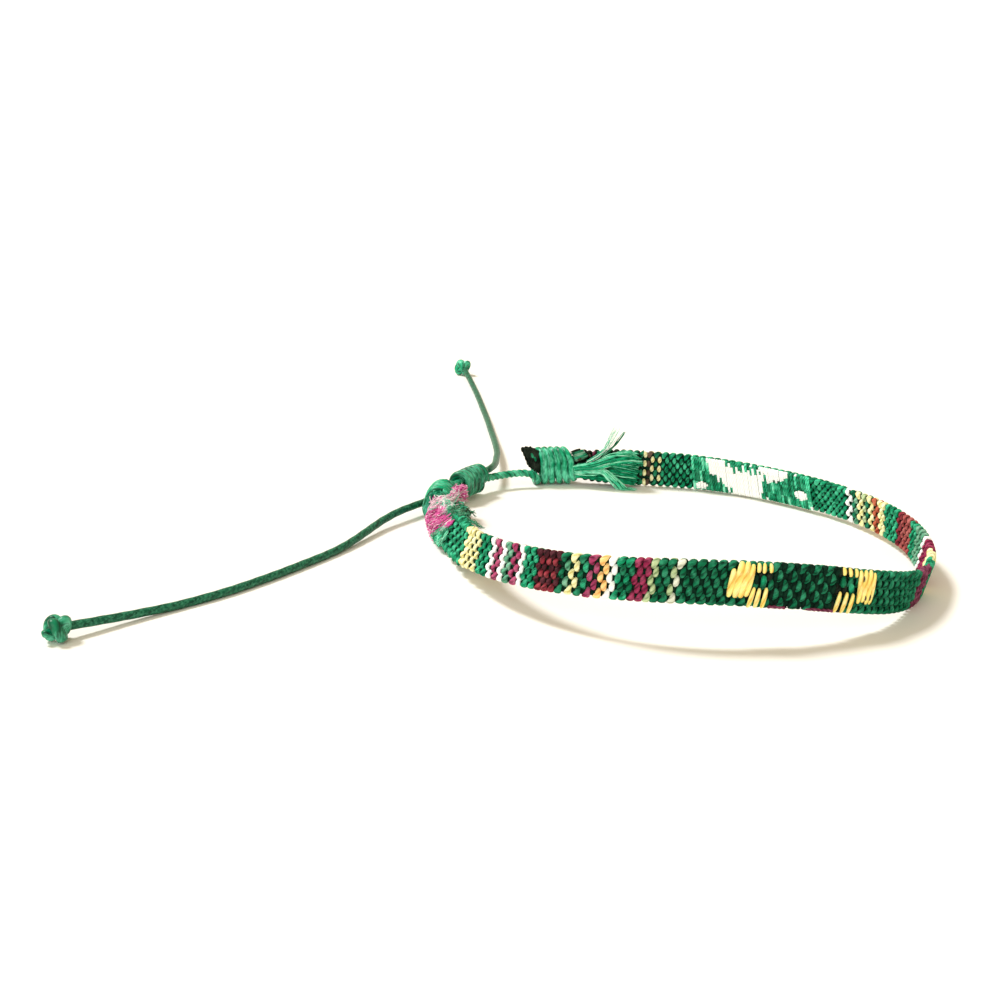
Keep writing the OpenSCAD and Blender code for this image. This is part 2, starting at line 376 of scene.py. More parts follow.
def fibre(name, colour, shade, tip, plies=2, rough=0.8, coat=0.0, bump=0.6, blotch=900.0,
          threads=9.0):
    """Twisted yarn or cord: plies that wind round it, fine fibres along them, painted shade in the
    grooves between the plies, and pale patches that are partly uneven dye and partly painted
    highlight. shade is the painted shade's colour and tip the pale patches' colour; blotch and
    threads are the scales of the patches and of the fibres."""
    m = Nodes(name)
    coords = m.add("ShaderNodeUVMap", uv_map="yarn").outputs["UV"]
    parts = m.add("ShaderNodeSeparateXYZ", {"Vector": coords}).outputs
    ply = m.maths("ABSOLUTE", m.maths("SINE", m.maths("MULTIPLY", parts["X"], math.pi * plies)))
    place_in = m.add("ShaderNodeTexCoord").outputs["Object"]
    drawn_out = m.add("ShaderNodeCombineXYZ", {"X": m.maths("MULTIPLY", parts["X"], threads),
                                               "Y": m.maths("MULTIPLY", parts["Y"], 0.6)})
    streak = m.noise(drawn_out.outputs[0], 2.2, 3.0, 0.6)
    patch = m.noise(place_in, blotch, 2.0, 0.5)
    # Painted shade: the shade colour fills the grooves between the plies, with random darker streaks
    # along the fibres
    depth = m.spread(m.weighed(ply, 0.6, streak, 0.7), 0.3, 1.0)
    base = m.mix(depth, linear(shade), linear(colour))
    # Pale patches and streaks in the tip colour, partly uneven dye and partly painted highlight
    dye_and_highlight = m.spread(m.weighed(patch, 0.7, streak, 0.5), 0.55, 0.95)
    m.feed(m.shader.inputs["Base Color"], m.mix(dye_and_highlight, base, linear(tip)))
    m.feed(m.shader.inputs["Roughness"], m.add("ShaderNodeMapRange", {
        "Value": patch, "To Min": rough - 0.08, "To Max": rough + 0.08}).outputs["Result"])
    m.shader.inputs["Specular IOR Level"].default_value = 0.12
    m.shader.inputs["Coat Weight"].default_value = coat
    m.shader.inputs["Coat Roughness"].default_value = 0.3
    height = m.weighed(ply, 0.7, streak, 0.5)
    raised = m.add("ShaderNodeBump", {"Height": height, "Strength": bump, "Distance": 0.06 * MM})
    m.feed(m.shader.inputs["Normal"], raised.outputs["Normal"])
    return m.material


# Each yarn: its letter in the tables, then its name, its colour, its painted shade in the grooves
# between the plies, and its pale colour, partly uneven dye and partly painted highlight
yarn_colours = {
    "g": ("green", (10, 142, 98), (0, 50, 34), (100, 240, 190)),
    "d": ("dark_green", (6, 108, 72), (0, 30, 20), (72, 178, 138)),
    "n": ("night_green", (4, 38, 25), (0, 12, 8), (16, 62, 42)),
    "k": ("black", (22, 32, 24), (4, 8, 5), (60, 68, 58)),
    "y": ("pale_yellow", (250, 246, 190), (190, 176, 92), (254, 254, 226)),
    "o": ("golden", (255, 240, 138), (220, 166, 64), (255, 252, 200)),
    "m": ("magenta", (168, 58, 102), (80, 10, 40), (214, 128, 160)),
    "c": ("crimson", (148, 34, 76), (52, 6, 24), (196, 92, 128)),
    "r": ("dark_red", (142, 44, 58), (50, 8, 16), (184, 92, 98)),
    "w": ("white", (255, 255, 255), (228, 230, 228), (255, 255, 255)),
    "p": ("pale_green", (186, 206, 156), (84, 112, 62), (226, 238, 204)),
    "a": ("grey_green", (92, 164, 130), (28, 78, 54), (176, 222, 198)),
    "s": ("salmon", (170, 82, 80), (90, 26, 30), (214, 138, 132)),
    "u": ("rust", (186, 88, 62), (104, 34, 18), (220, 138, 106)),
    "f": ("pink", (240, 104, 184), (178, 40, 116), (255, 184, 226)),
    "e": ("mauve", (122, 52, 80), (50, 10, 28), (170, 104, 132)),
    "q": ("pale_pink", (250, 222, 232), (214, 160, 184), (255, 244, 248)),
    "h": ("mint", (84, 224, 176), (12, 132, 92), (190, 255, 232)),
    # A paler copy of the mint among the frayed fibres: painted highlight
    "v": ("mint_painted_highlight", (156, 250, 212), (50, 184, 138), (220, 255, 244)),
    "b": ("brown", (84, 64, 54), (30, 18, 14), (140, 116, 100)),
    "j": ("peach", (255, 216, 140), (214, 142, 70), (255, 242, 196)),
    "x": ("maroon", (70, 24, 34), (22, 6, 10), (112, 62, 72)),
    "t": ("silky_green", (0, 150, 102), (0, 66, 44), (56, 226, 168)),
    "i": ("ivory", (226, 230, 212), (150, 152, 128), (246, 248, 238)),
}
letters = "".join(yarn_colours)
yarns = [fibre(name + "_yarn", *tones) for name, *tones in yarn_colours.values()]
# Dark for the warps and the sheet between them: painted shade inside the band, seen through the
# weave's gaps
dark_warp_and_shade = fibre("warp_and_painted_shade", (8, 44, 30), (2, 16, 10), (20, 64, 46), rough=0.9)

cord_plies = 3
# One waxed cord in four copies of different brightness: the brightest, for the lashings and the back
# end knot, is painted light, and the darkest, for the tails, is painted shade
cord_wax = fibre("waxed_cord", (10, 150, 106), (0, 58, 40), (130, 246, 204), cord_plies,
                 rough=0.4, coat=0.12, bump=0.7, blotch=700.0)
lit_cord_wax = fibre("waxed_cord_painted_light", (0, 162, 114), (0, 58, 38), (140, 255, 218), cord_plies,
                 rough=0.34, coat=0.22, bump=0.9, blotch=500.0, threads=6.0)
knot_wax = fibre("waxed_knot", (2, 122, 84), (0, 50, 34), (120, 236, 196), cord_plies,
                 rough=0.34, coat=0.25, bump=0.9, blotch=500.0, threads=6.0)
shaded_cord_wax = fibre("waxed_cord_painted_shade", (8, 88, 62), (2, 58, 40), (76, 160, 124), cord_plies,
                 rough=0.42, coat=0.12, bump=0.4, blotch=2600.0)


# Camera

def camera():
    """The photograph's view: a lens of 58 mm on a 36 mm frame, 72 mm above the surface."""
    data = bpy.data.cameras.new("camera")
    data.sensor_width = 36
    data.lens = 58.14
    data.clip_start = 0.01
    data.clip_end = 100
    obj = in_scene("camera", data)
    pitch_down = math.radians(16.4)
    roll = math.radians(2.3)
    forward = np.array([0, math.cos(pitch_down), -math.sin(pitch_down)])
    level = np.array([1.0, 0, 0])
    upward = np.array([0, math.sin(pitch_down), math.cos(pitch_down)])
    right = level * math.cos(roll) + upward * math.sin(roll)
    top = -level * math.sin(roll) + upward * math.cos(roll)
    turned = Matrix([list(v) for v in (right, top, -forward)]).transposed()
    stand = Matrix.Translation([x * MM for x in (-24.66, -222.69, 72.46)])
    obj.matrix_world = stand @ turned.to_4x4()
    bpy.context.scene.camera = obj


camera()


# Cords

cord_sides = 16
# Points of a coil for each turn, and of a cord's line for each span of its route
turn_steps = 30
route_steps = 12
# The length of a full turn of the plies in a coil, beside the sliding knot and in a tail
coil_lay = 40.0
bridge_lay = 2.7
tail_lay = -9.0


def stadium(bearing, angle, w, t):
    """A point of a coil round a core of width w and thickness t."""
    r = t / 2 + cord_r + seat
    straight = (w - t) / 2
    c = np.cos(np.radians(angle))
    s = np.sin(np.radians(angle))
    return spot(bearing, r * c, r * s + straight * np.sign(np.round(s, 6)))


def coil(start, sense, turns, w, t, phase, slant):
    """A coil's line and the direction of its axis at each point. slant leans its first turns."""
    turn_arc = pitch / (np.linalg.norm(loop_point(start)) * math.pi / 180)
    share = np.arange(turns * turn_steps + 1) / turn_steps
    angle = phase + sense * 360 * share
    lean = slant * (1 - share / turns) * np.sin(np.radians(angle))
    bearing = start + sense * (share + lean) * turn_arc
    return stadium(bearing, angle, w, t), along(bearing)


def laid(route):
    """A tail's route moved to its place, nowhere lower than a cord that lies on the surface."""
    return np.column_stack([route[:, :2], np.maximum(route[:, 2], cord_r + rest_gap)]) + place


def cord_line(wound, run, route):
    """A cord's line from the end of its coil through the sliding knot to the end of its tail."""
    return through(np.concatenate([wound[-1:], spot(*run.T), laid(route)]), route_steps)


left_wound, left_axis = coil(*left_coil)
back_wound, back_axis = coil(*back_coil)
left_line = cord_line(left_wound, left_run, back_route)
back_line = cord_line(back_wound, back_run, front_route)
# Where the tails begin in these lines
left_join = route_steps * (len(left_run) + 1)
back_join = route_steps * (len(back_run) + 1)


def end_knot(name, middle, heading, node, wax):
    """A tight overhand knot: three crossing bights of the cord and its cut end."""
    turn = np.linspace(0, 2 * np.pi, 91)
    size = (ball_d / 2 - 0.95 * cord_r) / 3
    knot = np.stack([np.sin(turn) + 2 * np.sin(2 * turn), np.cos(turn) - 2 * np.cos(2 * turn),
                     -2.4 * np.sin(3 * turn)], -1) * size
    forward = unit(np.array(heading, float))
    side = unit(np.cross([0, 0, 1.0], forward))
    over = np.cross(forward, side)
    line = middle + place + knot[:, :1] * side + knot[:, 1:2] * forward + knot[:, 2:] * over
    stub = middle + place + forward * np.linspace(0.6, 1.75, 6)[:, None] + [0, 0, -0.25]
    shape = Shape()
    # The bights' line is closed, so its last point is left out
    for points, radius, depth, lay in ((line[:-1], 1.2 * cord_r, 0.08, 5),
                                       (stub, 0.9 * cord_r, 0.1, 4)):
        shape.tube(points, carried(points), radius, radius, 0, cord_sides, cord_plies, depth, lay)
    return make(name, shape, [wax], [node])


def tail(name, line, node):
    """A free tail of cord, with the knot at its far end."""
    shape = Shape()
    shape.tube(line, carried(line), cord_r, cord_r, 0, cord_sides, cord_plies, 0.03, tail_lay, False)
    # The tails take the darkest copy of the cord: painted shade
    obj = make(name, shape, [shaded_cord_wax], [node])


def held_cord(name, wound, axis, line, join, node):
    """A lashing and the cord that leads from it through the sliding knot."""
    rest = line[1:join + 1]
    whole = np.concatenate([wound, rest])
    across = np.concatenate([axis, carried(line, axis[-1])[1:join + 1]])
    in_coil = np.arange(len(whole)) < len(wound)
    wide = np.where(in_coil, 1.03 * cord_r, cord_r)
    depth = np.where(in_coil, 0.04, 0.14)
    lay = np.where(in_coil, coil_lay, bridge_lay)
    look = np.where(in_coil[:-1], 0, 1)
    shape = Shape()
    shape.tube(whole, across, wide, cord_r, look, cord_sides, cord_plies, depth, lay, False)
    # The coil takes the brightest copy of the cord: painted light
    make(name, shape, [lit_cord_wax, cord_wax], [node])


def sliding_knot():
    """The turns of cord round the two running cords."""
    line, axis = coil(*knot_coil)
    shape = Shape()
    shape.tube(line, axis, 1.06 * cord_r, cord_r, 0, cord_sides, cord_plies, 0.04, coil_lay)
    make("sliding_knot_coil", shape, [knot_wax], ["sliding_knot"])


front_knot = end_knot("front_end_knot", front_ball, (-1, -1.05, 0), "front_tail_knot", knot_wax)
# The back end knot takes the brightest copy of the cord: painted light
back_knot = end_knot("back_end_knot", back_ball, (-0.16, 1, 0), "back_tail_knot", lit_cord_wax)
tail("front_cord_tail", back_line[back_join:], "front_tail")
tail("back_cord_tail", left_line[left_join:], "back_tail")
held_cord("left_lashing", left_wound, left_axis, left_line, left_join, "left_lashing_cord")
held_cord("back_lashing", back_wound, back_axis, back_line, back_join, "back_lashing_cord")
sliding_knot()


# Woven band

# The stripes from the left end. Columns: yarns of the picks in turn, number of picks, where the
# stripe ends, rows of grains across the band. A plus sign marks two yarns whose grains alternate
# along every row, and a capital letter a pick whose grains lie in the other rows.
stripes = [
    ("f", 16, 12.0, 6), ("g", 11, 28.2, 6), ("y", 6, 34.5, 6), ("g", 4, 37.7, 6), ("w", 2, 39.0, 6),
    ("m", 2, 40.5, 6), ("w", 2, 41.5, 6), ("a", 2, 42.8, 6), ("m", 2, 44.4, 6), ("w", 2, 45.2, 6),
    ("g", 4, 47.5, 6), ("xr", 7, 51.0, 6), ("da", 2, 52.4, 5), ("y", 2, 53.6, 5), ("dg", 2, 54.8, 5),
    ("m", 2, 56.2, 5), ("j", 2, 57.4, 5), ("w", 2, 58.4, 5), ("gd", 4, 60.5, 5), ("c", 4, 62.4, 5),
    ("p", 2, 63.3, 5), ("d", 3, 64.9, 5), ("pi", 2, 66.0, 5), ("d", 14, 74.7, 5),
    ("kd", 5, 77.3, 5), ("+dn", 20, 86.8, 5), ("kd", 4, 89.0, 5), ("d", 24, 104.3, 5),
    ("e", 7, 108.6, 5), ("g", 6, 112.3, 6), ("y", 6, 115.9, 6), ("c", 7, 119.9, 6),
    ("w", 2, 121.2, 6), ("a", 5, 124.6, 6), ("g", 4, 126.8, 6), ("s", 5, 130.2, 6),
    ("r", 2, 131.6, 6), ("g", 6, 135.4, 6), ("y", 3, 137.0, 6), ("u", 2, 138.4, 6),
    ("y", 2, 139.7, 6), ("dp", 2, 141.0, 6), ("y", 2, 142.4, 6), ("ad", 2, 143.5, 6),
    ("w", 2, 144.9, 6), ("g", 12, 152.0, 7), ("g", 34, 173.2, 7), ("g", 9, 178.6, 7),
    ("ydybYd", 6, 182.2, 7), ("kdkdd", 13, 189.4, 7), ("k", 13, 197.0, 7)]

# The warp's stretches. Columns: rows of grains across the band, start, end
warp_rows = [(6, 0.2, 51.4), (5, 51.2, 108.8), (6, 108.6, 145.0), (7, 144.8, 198.0)]

# The strip's section. Columns: bearing, width, thickness
section_rows = np.array([
    [left_end, left_w, end_t], [164.9, 3.0, end_t], [168.5, 3.8, 1.3], [178, 5.0, 1.3],
    [188, band_w, band_t], [450, band_w, band_t], [462, band_w, 1.5], [467.5, back_w + 1.1, 1.9],
    [469.8, back_w, end_t], [479.4, back_w, end_t], [back_end, back_w - 0.5, 1.0]])
# How far the section's middle is raised. Columns: bearing, rise
rise_rows = np.array([[163, 0], [164.9, -0.5], [178, -0.3], [188, 0], [478.4, 0], [480.4, 1.5]])
# Where the strip is wider than its solid, at the front and the back. Columns: length, extra width
front_fuller = np.array([[50, 0], [66, 0.4], [96, 0.4], [108, 0]])
back_fuller = np.array([[162, 0], [176, 0.4], [186, 0.4], [191, 0]])
# How far the band's top is shifted along it, from its bottom. Columns: length, shift
skew_rows = np.array([
    [8, 3], [20, -1.5], [28, 0], [34, 0.4], [40, 1.0], [50, 1.1], [56, 0.9], [66, 0.8], [90, 0.3],
    [110, 0.3], [125, 0], [194, 0], [198, 2.3]])

# The greatest half width of the weft's yarn. Columns: from which length on, half width
weft_widths = [(173, 0.32), (30, 0.38), (0, 0.7)]
# Half the thickness of the weft's yarn
yarn_thick = 0.24
# How far the weft's turns reach past the outer rows, and the points of its line for each row
edge_drop = 0.4
steps_per_row = 7


def picks():
    """(yarn letter, middle in mm, spacing, rows, parity) of each pick from the left end."""
    start = 0.3
    made = []
    for yarn, count, end, rows in stripes:
        step = (end - start) / count
        paired = yarn.startswith("+")
        yarn = yarn.lstrip("+")
        for i in range(count):
            letter = yarn[i % len(yarn)]
            parity = (0, 1, 1, 0)[i % 4] if paired else (len(made) + letter.isupper()) % 2
            made.append((letter.lower(), start + (i + 0.5) * step, step, rows, parity))
        start = end
    return made


def strip_size(length):
    """Width, thickness and rise of the strip, which is narrower and thicker in the lashings."""
    bearing = bearing_at(length)
    fuller = read(front_fuller, length)
    wide = read(section_rows, bearing) + fuller + read(back_fuller, length)
    rise = read(rise_rows, bearing) + fuller / 2
    return wide, read(section_rows, bearing, 2), rise


def pick_line(down, yarn, middle, step, rows, parity):
    """One pick's path as columns inward, up, length, and its half width and thickness.
    It passes from one long edge to the other, over and under the rows in turn."""
    wide, thick, rise = strip_size(middle)
    phase = np.linspace(0, rows * np.pi, rows * steps_per_row + 1)[:-1]
    first = wide / 2 - yarn_thick - edge_drop
    row_h = 2 * first / (rows - 1)
    up = -first + row_h * (phase / np.pi - 0.5)
    low = phase < np.pi / 2
    high = phase > (rows - 0.5) * np.pi
    up[low] = -first - edge_drop * np.cos(phase[low])
    up[high] = first + edge_drop * np.cos(rows * np.pi - phase[high])
    shift = np.zeros(len(phase))
    shift[low] = -np.cos(phase[low])**2
    shift[high] = np.cos(rows * np.pi - phase[high])**2
    wave = np.sin(phase)
    crest = np.abs(wave)
    side = 1 if parity else -1
    if down:
        up = -up
        side *= (-1)**(rows - 1)
    sunk = 0.5 if yarn == "n" else 1.0
    inward = sunk * side * np.sign(wave) * crest**0.5 * (thick / 2 - yarn_thick)
    row = np.floor(phase / np.pi).astype(int)
    jitter = rng.normal(0, 0.03, (2, rows))[:, row] * crest
    length = middle + shift * step / 2 + read(skew_rows, middle) * up / band_w + jitter[0]
    widest = next(half_width for start, half_width in weft_widths if middle > start)
    half_wide = min(widest, 0.78 * step) * np.where(low | high, 1.15, 0.7 + 0.3 * crest)
    return inward, up + rise + jitter[1], length, half_wide, yarn_thick * (0.9 + 0.1 * crest)


def weft(name, chosen, first_number):
    """A stretch of the weft as one yarn that turns at both edges."""
    columns = []
    looks = []
    for number, pick in enumerate(chosen, first_number):
        part = np.array(np.broadcast_arrays(*pick_line(number % 2, *pick)))
        columns.append(part)
        looks += [letters.index(pick[0])] * part.shape[1]
    inward, up, length, wide, thick = np.concatenate(columns, axis=1)
    bearing = bearing_at(length)
    shape = Shape()
    shape.tube(spot(bearing, inward, up), along(bearing), wide, thick, np.array(looks[:-1]), 10)
    make(name, shape, yarns)


def warp():
    """The lengthwise yarns inside the band and a thin sheet between them, both dark: painted shade
    inside the band that shows through the weave's gaps.
    """
    shape = Shape()
    for rows, start, end in warp_rows:
        length = np.linspace(start, end, int((end - start) / 0.8) + 2)
        bearing = bearing_at(length)
        wide, thick, rise = strip_size(length)
        up = face_up(bearing)
        # The thin dark sheet: painted shade between the warps, which also blocks light
        shape.tube(spot(bearing, 0, rise), up, wide / 2 - 0.3, 0.1, 0, 8)
        for row in range(rows):
            first = wide / 2 - yarn_thick - edge_drop
            level = first * (2 * row / (rows - 1) - 1) + rise
            shape.tube(spot(bearing, 0, level), up, 0.34, thick / 2 - 2 * yarn_thick, 0, 8)
    make("warp", shape, [dark_warp_and_shade], ["woven_band"])


all_picks = picks()
# The weft is made in three pieces
cuts = [i * len(all_picks) // 3 for i in range(4)]
for i, (first, last) in enumerate(zip(cuts, cuts[1:]), 1):
    weft(f"weft_{i}", all_picks[first:last], first)
warp()


# The band's figures

# The raised figure on the front: long stitches over the outer face.
# Columns: length and up of the top end, length and up of the bottom end, half width, yarn
front_stitches = [
    (72.5, 2.2, 72.2, -1.3, 0.42, "o"), (73.4, 3.1, 73.0, -1.35, 0.5, "o"),
    (74.15, 3.1, 73.7, -1.35, 0.48, "o"), (74.85, 2.8, 74.4, -1.2, 0.4, "o"),
    (75.5, 3.0, 75.6, 1.9, 0.28, "o"), (76.2, 3.0, 76.3, 1.8, 0.26, "o"),
    (77.0, 3.0, 77.2, 1.9, 0.26, "o"), (75.3, -0.1, 74.8, -2.6, 0.3, "o"),
    (76.0, -0.2, 75.7, -2.6, 0.3, "o"), (76.9, -0.1, 76.6, -2.6, 0.3, "o"),
    (76.3, 1.4, 76.4, 0.4, 0.4, "g"), (75.4, 1.5, 75.5, 0.4, 0.3, "n"),
    (89.9, 2.9, 90.5, -1.2, 0.38, "o"), (90.7, 3.0, 91.2, -1.0, 0.4, "o"),
    (91.5, 3.1, 91.9, -1.2, 0.4, "o"), (92.3, 2.8, 92.5, -1.2, 0.3, "o"),
    (87.1, 3.1, 87.4, 2.2, 0.28, "o"), (88.0, 3.1, 88.4, 2.1, 0.28, "o"),
    (89.0, 3.1, 89.3, 2.1, 0.26, "o"), (87.3, 0, 86.9, -2.6, 0.3, "o"),
    (88.4, 0, 88.0, -2.6, 0.3, "o"), (89.4, -0.1, 89.1, -2.6, 0.3, "o"),
    (87.3, 1.7, 87.5, 0.7, 0.4, "d"), (88.7, 1.1, 88.9, 0.2, 0.4, "g"),
    (90.3, 2.3, 90.4, 1.6, 0.1, "b"), (91.2, -0.1, 91.4, -0.7, 0.12, "b"),
    (92.0, 0.1, 92.1, -0.7, 0.12, "b")]
# Mauve ends that show under the lower edge, and where the figure's yarns lie loose behind it, on
# the inner face. Columns: start, end
mauve_hems = [(77.6, 79.9), (82.8, 86.9)]
loose_behind = [(71.9, 77.2), (86.9, 92.9)]

# The loose yarns of the figure behind, on the inner face. White, with patches of green:
# outlines as pairs of length and up
green_patches = [
    [(173.6, 3.2), (171.4, 3.2), (170.6, 1.2), (168.6, -0.6), (165.8, -3.2), (173.6, -3.2)],
    [(168.6, 3.2), (161.4, 3.2), (161.9, 1.5), (163.0, 2.0), (165.0, 1.2), (167.2, 1.5)],
    [(159.6, 1.0), (157.0, 1.9), (155.4, 3.2), (151.6, 3.2), (151.6, -3.2), (161.2, -3.2),
     (161.0, 0.5)]]
# White spots in the green. Columns: length and up of the middle, half sizes along and up
white_spots = [(171.6, -1.8, 1.0, 0.6), (153.9, -0.5, 1.2, 0.75)]
# The loose yarns' spacing, and how far their tops are shifted along the strip from their bottoms
float_step = 0.42
float_lean = 0.9


def stitch(shape, row, face, bulge=0.16):
    """One long stitch over a face of the strip. face is -1 for the outer face and 1 for the inner."""
    top, top_up, bottom, bottom_up, half_wide, yarn = row
    share = np.linspace(0, 1, 15)
    length = top + (bottom - top) * share
    up = top_up + (bottom_up - top_up) * share
    hump = np.sin(np.pi * share)**0.4
    # Thin stitches lie over the wide ones
    over = 0.1 if half_wide > 0.2 else 0.28
    lift = strip_size(length)[1] / 2 - 0.12 + bulge * hump + over
    bearing = bearing_at(length)
    thick = max(0.14, 0.7 * half_wide)
    shape.tube(spot(bearing, face * lift, up), along(bearing), half_wide * (0.55 + 0.45 * hump),
               thick * (0.5 + 0.5 * hump), letters.index(yarn), 12, lay=6.0)


def figure_on_front():
    """The front figure, the mauve ends below it and its loose yarns on the inner face."""
    shape = Shape()
    for row in front_stitches:
        stitch(shape, row, -1)
    for start, end in mauve_hems:
        length = np.arange(start, end, 0.3)
        line = on_strip(length, -0.5, -2.5)
        knobs = 0.2 + 0.05 * np.sin(9 * length)
        shape.tube(line, carried(line), knobs, knobs, letters.index("e"), 7)
    for start, end in loose_behind:
        for i, length in enumerate(np.arange(start, end, 0.5)):
            yarn = "gog"[i % 3] if i % 4 else "w"
            stitch(shape, (length + 0.4, 2.7, length, -2.6, 0.24, yarn), 1, 0.1)
    make("front_figure", shape, yarns)


def inside(outline, x, y):
    """Whether a point lies inside an outline."""
    hit = False
    for (x1, y1), (x2, y2) in zip(outline, outline[1:] + outline[:1]):
        if (y1 > y) != (y2 > y) and x < x1 + (y - y1) * (x2 - x1) / (y2 - y1):
            hit = not hit
    return hit


def is_green(length, up, ragged):
    """Whether the figure behind is green at a place. ragged shifts the patches' edges."""
    patched = any(inside(outline, length, up + ragged) for outline in green_patches)
    spotted = any(((length - a) / c)**2 + ((up - b) / d)**2 < 1 for a, b, c, d in white_spots)
    return patched and not spotted


def figure_behind():
    """The loose white and green yarns across the inner face of the back half."""
    shape = Shape()
    for middle in np.arange(152.1, 173.3, float_step):
        up = np.linspace(2.62, -2.62, 27)
        length = middle + float_lean * up / band_w + rng.normal(0, 0.05)
        ragged = rng.normal(0, 0.45)
        # A green for each third of the band's width
        shades = rng.choice(list("gggddh"), 3)
        yarn = [shades[min(int(2.8 - y) // 2, 2)] if is_green(x, y, ragged) else "w"
                for x, y in zip(length, up)]
        # A yarn dips where its colour changes, and at its ends
        change = np.array([(a == "w") != (b == "w") for a, b in zip(yarn, yarn[1:] + yarn[-1:])])
        lift = band_t / 2 + 0.12 + rng.normal(0, 0.02) - 0.16 * change
        lift[[0, -1]] -= 0.25
        bearing = bearing_at(length)
        look = np.array([letters.index(c) for c in yarn[:-1]])
        shape.tube(spot(bearing, lift, up), along(bearing), 0.23, 0.15, look, 8)
    make("loose_figure", shape, yarns)


figure_on_front()
figure_behind()


# Folded and frayed ends

# A place on the strip is length, inward, up. blend is the letters that a yarn is drawn from.

# How high the slanted pink yarns reach. Columns: length, up
satin_tops = np.array([[4.9, -1.2], [7, 0.0], [9, 0.7], [13, 1.0]])

# Pink tufts of the left closure, as points of the part.
# Columns: middle, root, size, number of fibres, yarns, half thickness, reach
pink_tufts = [
    ((-30.75, 13.0, 3.75), (-31.4, 12.6, 3.3), 1.4, 320, "fffqfq", 0.08, 0.2),
    ((-30.8, 11.2, 4.6), (-31.5, 11.6, 4.2), 1.3, 260, "ffqqqf", 0.075, 0.2),
    ((-31.4, 9.0, 4.4), (-31.9, 9.2, 4.1), 1.0, 150, "qqqwhf", 0.07, 0.5)]
# Small tufts close to the left lashing, as places on the strip. Columns: middle, yarns
lashing_tufts = [
    ((5.6, -0.45, 0.5), "qwqqhf"), ((5.6, -0.1, 1.4), "qwqqhf"), ((5.6, 0.7, 1.6), "qwqqhf"),
    ((4.9, -0.4, 1.7), "gthg"), ((4.9, 0.5, 2.0), "gthg")]

# Green tufts of the left closure, with the columns of pink_tufts
green_tufts = [
    ((-30.4, 6.6, 3.0), (-31.2, 7.4, 3.0), 1.25, 220, "ghaaaw", 0.085, 0.5),
    ((-29.9, 3.4, 3.6), (-30.6, 4.6, 3.4), 1.1, 190, "ghaaab", 0.075, 0.5)]
# Tufts along the top edge. Columns: middle on the strip, size, number of fibres, yarns
edge_tufts = [
    ((12.6, -0.5, 1.6), 0.7, 80, "wwhq"), ((14.2, -0.5, 1.9), 0.8, 140, "ghaaa"),
    ((16.4, -0.4, 2.3), 0.8, 140, "ghaaa"), ((18.8, -0.2, 2.7), 0.7, 110, "ghaaa")]

# Bunches of fibres that stand out from the back lashing; their bright mint fibres are painted
# highlight.
# Columns: places on the strip, number of fibres, spread, half thickness, yarns
back_bunches = [
    ([(192.6, 1.8, 0.5), (190.5, 2.2, 0.9), (188.4, 2.4, 2.2), (187.0, 2.3, 3.6), (186.1, 2.2, 4.8),
      (185.2, 2.1, 6.2)], 7, 0.1, 0.085, "dda"),
    ([(191.0, 2.2, 0.9), (189.0, 2.4, 2.2), (187.9, 2.3, 3.6), (187.2, 2.2, 5.0), (186.5, 2.1, 6.4)],
     16, 0.35, 0.04, "hhw"),
    ([(193.0, 1.9, -0.9), (190.5, 2.5, -0.5), (188.3, 2.9, -0.4), (187.1, 3.0, -1.2),
      (185.9, 2.9, -2.2), (184.7, 2.7, -3.3), (183.8, 2.5, -4.3)], 44, 0.27, 0.12, "vvhhg"),
    ([(193.0, 1.9, -0.2), (190.0, 2.6, 0.1), (187.2, 2.9, 0.9), (184.2, 2.7, 1.6), (182.2, 2.0, 1.3)],
     24, 0.25, 0.11, "vhtt")]

# The folded corner beside the back lashing, as stitches.
# Columns: length and up of one end, length and up of the other end, half width, yarn, bulge
flap_stitches = [
    (190.9, 1.6, 192.8, 0.6, 0.26, "k", 0.2), (190.8, 1.9, 193.0, 0.9, 0.3, "a", 0.3),
    (191.0, 2.2, 193.3, 1.2, 0.3, "g", 0.36), (191.2, 2.45, 193.5, 1.6, 0.3, "a", 0.36),
    (191.6, 2.7, 193.7, 2.0, 0.28, "d", 0.3), (192.2, 2.9, 193.8, 2.35, 0.2, "k", 0.2),
    (190.6, 2.0, 191.5, 2.8, 0.2, "k", 0.25), (190.4, 1.6, 190.8, 2.2, 0.2, "b", 0.2),
    (192.0, 1.35, 192.5, 1.05, 0.13, "b", 0.5), (189.8, 2.5, 189.9, 1.8, 0.26, "e", 0.15),
    (189.1, 2.6, 189.2, 1.9, 0.26, "d", 0.15), (188.4, 2.8, 188.5, 2.2, 0.26, "e", 0.15),
    (187.8, 2.8, 187.9, 2.2, 0.26, "b", 0.15)]


def hair(shape, points, radius, blend, wobble=0.06, sides=4):
    """A loose fibre through a few points, with small random waves."""
    line = through(points, 6)
    share = np.linspace(0, np.pi, len(line))[:, None]
    drift = rng.normal(0, wobble, (3, 3))
    line = line + sum(np.sin((k + 1) * share) * drift[k] for k in range(3))
    # Nothing reaches into the surface
    line[:, 2] = np.maximum(line[:, 2], 0.12)
    girth = radius * rng.uniform(0.7, 1.3)
    yarn = rng.choice(list(blend))
    shape.strand(line, girth, letters.index(yarn), sides)


def tuft(shape, middle, root, size, count, blend, radius, reach=0.5):
    """A ball of fine frayed fibres that spread from root round middle."""
    for _ in range(count):
        way = unit(rng.normal(0, 1, 3))
        end = middle + way * size * rng.uniform(0.45, 1.3)
        start = root + rng.normal(0, 0.35, 3)
        bend = (start + end) / 2 + way * rng.uniform(-0.2, reach)
        hair(shape, [start, bend, end], radius, blend, 0.08)


def slanted(length, low, high, slope, inward):
    """Three points of a slanted fibre on the outer face, between two heights."""
    rise = np.array([0, 0.5, 1]) * (high - low)
    return on_strip(length + slope * rise, inward, low + rise)


